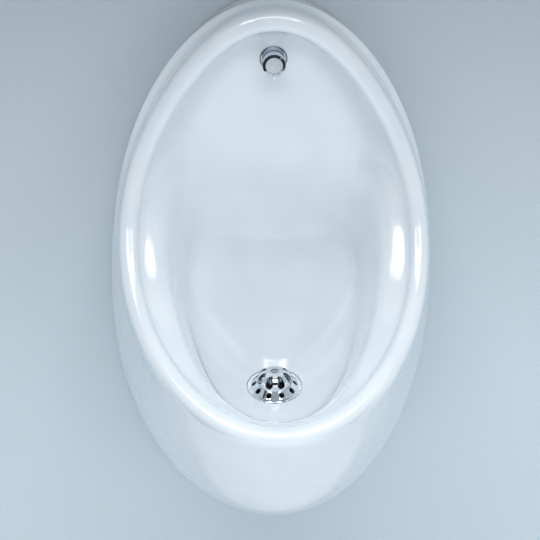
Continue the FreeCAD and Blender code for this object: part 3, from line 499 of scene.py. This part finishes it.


# %% [markdown]
# ## Metals, rubber and plastic behind the bowl
#
# Nuts are plain turned brass, wall screws and hangers are zinc plated, gaskets are black rubber,
# and the trap is moulded in white plastic. Each takes a base colour, a grain and a little uneven
# gloss. The small screw under the spreader's cap is satin nickel. As a metal like the chrome it
# would mirror the dark room in front of it. The real one looks pale, so it gets no mirror, and
# its pale colour is a painted highlight in place of the light that the real screw reflects.


# %% Turned metal, rubber and plastic
def plain(name, light, dark, rough, metallic, scale, height, coat=0.0):
    material, tree, shader, place = new_material(name)
    grain = use(tree, GRAIN, place, scale=scale, height=height)
    patches = spread(tree, noise(tree, place, 55.0, 4.0, 0.6), 0.3, 0.75)
    blend = maths(tree, "MULTIPLY_ADD", grain["Mask"], 0.4, maths(tree, "MULTIPLY", patches, 0.6))
    fill(tree, shader, "base_color", mixed(tree, blend, srgb(*light), srgb(*dark)))
    fill(tree, shader, "roughness", maths(tree, "MULTIPLY_ADD", blend, 0.15, rough))
    fill(tree, shader, "normal", grain["Normal"])
    shader.inputs["Metallic"].default_value = metallic
    shader.inputs["Coat Weight"].default_value = coat
    return material


# %% Give them to the pieces
finish(["spreader_backnut", "waste_backnut"],
       plain("turned brass", (214, 184, 120), (186, 150, 88), 0.22, 1.0, 1200.0, 0.02))
finish(["hanger_left", "hanger_right", "hanger_washers", "hanger_screws"],
       plain("zinc plate", (196, 200, 204), (158, 164, 170), 0.30, 1.0, 500.0, 0.03))
# The grub screw's pale colour is a painted highlight, in place of its metal's reflection.
finish(["spreader_grub_screw"],
       plain("satin nickel with painted highlight", (252, 253, 254), (240, 244, 247), 0.35, 0.0, 1500.0, 0.01))
finish(["strainer_screw"],
       plain("stainless steel", (190, 190, 188), (160, 160, 160), 0.25, 1.0, 1500.0, 0.01))
finish(["spreader_o_ring", "spreader_front_gasket", "spreader_back_gasket", "waste_top_seal",
        "waste_under_gasket", "trap_inlet_washer", "trap_cup_ring", "outlet_washer", "hanger_pads"],
       plain("black rubber", (42, 42, 43), (26, 26, 27), 0.55, 0.0, 700.0, 0.05))
finish(["spreader_slip_washer", "waste_slip_washer", "wall_plugs"],
       plain("grey nylon", (170, 172, 174), (150, 152, 155), 0.40, 0.0, 900.0, 0.03))
finish(["trap_union_nut", "trap_body", "trap_dip_tube", "trap_cup", "trap_cup_grips",
        "outlet_union_nut", "outlet_pipe"],
       plain("white plastic", (236, 236, 232), (224, 224, 219), 0.26, 0.0, 600.0, 0.02, coat=0.15))

# %% [markdown]
# ## The room
#
# The bowl hangs on a pale wall over a pale floor. The wall can be seen through from behind, so
# that the parts in the wall can be looked at too. The Backfacing output of the Geometry node
# tells which side of the wall a ray meets. The paint gets a little darker upwards: this is a
# painted shade in place of a lamp that lights the wall less towards the top, and a painted
# shade leaves the light on the bowl alone.

# %% A plane, and two shaders in one surface
def plane(name, size, place, turned=(0, 0, 0)):
    bpy.ops.object.select_all(action="DESELECT")
    bpy.ops.mesh.primitive_plane_add(size=size, location=place, rotation=turned)
    bpy.ops.object.transform_apply(location=True, rotation=True, scale=True)
    made = bpy.context.object
    made.name = name
    return made


def blended(tree, factor, first, second):
    """The surface shows the first shader at factor 0 and the second one at factor 1."""
    blend = tree.nodes.new("ShaderNodeMixShader")
    tree.links.new(factor, blend.inputs[0])
    tree.links.new(first.outputs[0], blend.inputs[1])
    tree.links.new(second.outputs[0], blend.inputs[2])
    tree.links.new(blend.outputs[0], tree.nodes["Material Output"].inputs["Surface"])


# %% Paint
WALL_COLOUR = srgb(208, 221, 229)
FLOOR_COLOUR = srgb(240, 245, 249)
PATCH_TONE, TOP_SHADE = 0.96, 0.72     # shares of the colour
SHADE_FROM, SHADE_TO = -0.55, 0.35      # heights


def darkened(colour, share):
    return tuple(value * share for value in colour[:3]) + (1.0,)


def painted(name, colour, see_through):
    material, tree, shader, place = new_material(name)
    height = add(tree, "ShaderNodeSeparateXYZ", vector=place).outputs["Z"]
    patchy = mixed(tree, noise(tree, place, 3.0, 3.0), colour, darkened(colour, PATCH_TONE))
    # Painted shade: the wall gets darker towards the top.
    painted_shade_upwards = spread(tree, height, SHADE_FROM, SHADE_TO)
    fill(tree, shader, "base_color", mixed(tree, painted_shade_upwards, patchy, darkened(colour, TOP_SHADE)))
    shader.inputs["Roughness"].default_value = 0.5
    if see_through:
        behind = tree.nodes.new("ShaderNodeNewGeometry").outputs["Backfacing"]
        clear = tree.nodes.new("ShaderNodeBsdfTransparent")
        blended(tree, behind, shader, clear)
    return material


# %% Wall and floor
WALL_GAP = 0.0012           # behind the bowl's back edge
FLOOR_LEVEL = -0.9
WALL_SIZE, FLOOR_SIZE = 6, 8
wall = plane("wall", WALL_SIZE, (0, WALL_GAP, -FLOOR_LEVEL), (pi / 2, 0, 0))
floor = plane("floor", FLOOR_SIZE, (0, 0, FLOOR_LEVEL))
wall.data.materials.append(painted("wall paint", WALL_COLOUR, True))
floor.data.materials.append(painted("floor paint", FLOOR_COLOUR, False))
print("floor", -FLOOR_LEVEL, "m under the water inlet")

# %% [markdown]
# ## Dark cards for the chrome
#
# Chrome shows the room, and in an all pale room it looks like grey paint. A photographer stands
# dark cards round the object, one behind the camera and one on each side: their reflection is
# the black band round the spreader's shoulder. Only glossy rays meet the cards here, so they
# take no light away and never show in a picture. Seen in a second mirroring they are grey,
# which keeps the hollow between rose and cap from turning black. A flag, a narrow cloth over
# the bowl, does the opposite: it only shades, and gives the soft shadow on the back panel.


# %% The cloths
SECOND_MIRRORING = 1.5      # a ray's count of mirrorings is over this from its second one
ROOM_GREY = srgb(176, 190, 200)


def card_cloth(name, rays, dark, light):
    """Dark cloth that only the named kinds of rays meet; all others go through."""
    material, tree, shader, place = new_material(name)
    weave = noise(tree, place, 200.0, 2.0)
    black = mixed(tree, weave, srgb(*dark), srgb(*light))
    shader.inputs["Roughness"].default_value = 0.9
    path = tree.nodes.new("ShaderNodeLightPath").outputs
    later = maths(tree, "GREATER_THAN", path["Glossy Depth"], SECOND_MIRRORING)
    fill(tree, shader, "base_color", mixed(tree, later, black, ROOM_GREY))
    met = path[rays[0]]
    for ray in rays[1:]:
        met = maths(tree, "MAXIMUM", met, path[ray])
    clear = tree.nodes.new("ShaderNodeBsdfTransparent")
    blended(tree, met, clear, shader)
    return material


MIRRORED, SHADING = ("Is Glossy Ray",), ("Is Shadow Ray", "Is Diffuse Ray")
CARD_CLOTH = card_cloth("dark card", MIRRORED, (24, 26, 28), (40, 42, 45))
GREY_CLOTH = card_cloth("grey card", MIRRORED, (110, 120, 128), (150, 160, 168))
FLAG_CLOTH = card_cloth("flag", SHADING, (24, 26, 28), (40, 42, 45))

# %% The cards
UPRIGHT, SIDEWAYS, FLAT = (pi / 2, 0, 0), (pi / 2, 0, pi / 2), (0, 0, 0)


def card(name, place, turned, wide, high, cloth=CARD_CLOTH):
    made = plane(name, 1, (0, 0, 0))
    bpy.ops.transform.resize(value=(wide, high, 1))
    made.rotation_euler = turned
    made.location = place
    bpy.ops.object.transform_apply(location=True, rotation=True, scale=True)
    made.data.materials.append(cloth)
    print(name, wide, "by", high, "m")


card("card_front", (0.05, -1.9, 0.6), UPRIGHT, 3.2, 2.6)
card("card_left", (-0.5, -0.75, -0.25), SIDEWAYS, 1.1, 1.2)
card("card_right", (0.6, -0.85, -0.28), SIDEWAYS, 1.1, 1.1)
card("card_above", (0.05, -1.15, 1.35), FLAT, 1.0, 0.5, GREY_CLOTH)
card("flag", (0, -0.2, 0.55), FLAT, 2.4, 0.4, FLAG_CLOTH)

# %% [markdown]
# ## Light
#
# The light is high and soft: a broad panel over the bowl, which also draws the bright line
# along the rim, two weak ones from low on both sides for the belly, and a dim sky all round
# that fills the shadows.


# %% Lamps
WHITE, COOL_WHITE = (1.0, 1.0, 1.0), (0.97, 0.99, 1.0)


def lamp(name, place, target, width, height, power, colour=WHITE):
    light = bpy.data.lights.new(name, "AREA")
    light.shape = "RECTANGLE"
    light.size, light.size_y = width, height
    light.energy = power
    light.color = colour
    thing = bpy.data.objects.new(name, light)
    bpy.context.scene.collection.objects.link(thing)
    thing.location = place
    thing.rotation_euler = (Vector(target) - Vector(place)).to_track_quat("-Z", "Y").to_euler()
    print(name, power, "W")


lamp("ceiling panel", (-0.05, -1.15, 1.85), (0, -0.2, -0.3), 2.2, 1.2, 46)
lamp("left fill", (-1.6, -1.8, -0.5), (0, -0.2, -0.5), 1.2, 1.2, 3, COOL_WHITE)
lamp("right fill", (1.7, -1.6, -0.2), (0, -0.2, -0.5), 1.3, 1.3, 6, COOL_WHITE)

# %% Sky and view
world = bpy.data.worlds.new("sky")
bpy.context.scene.world = world
world.use_nodes = True
sky = world.node_tree.nodes["Background"].inputs
sky["Color"].default_value = (0.92, 0.96, 1.0, 1.0)
sky["Strength"].default_value = 0.52
bpy.context.scene.view_settings.view_transform = "Standard"
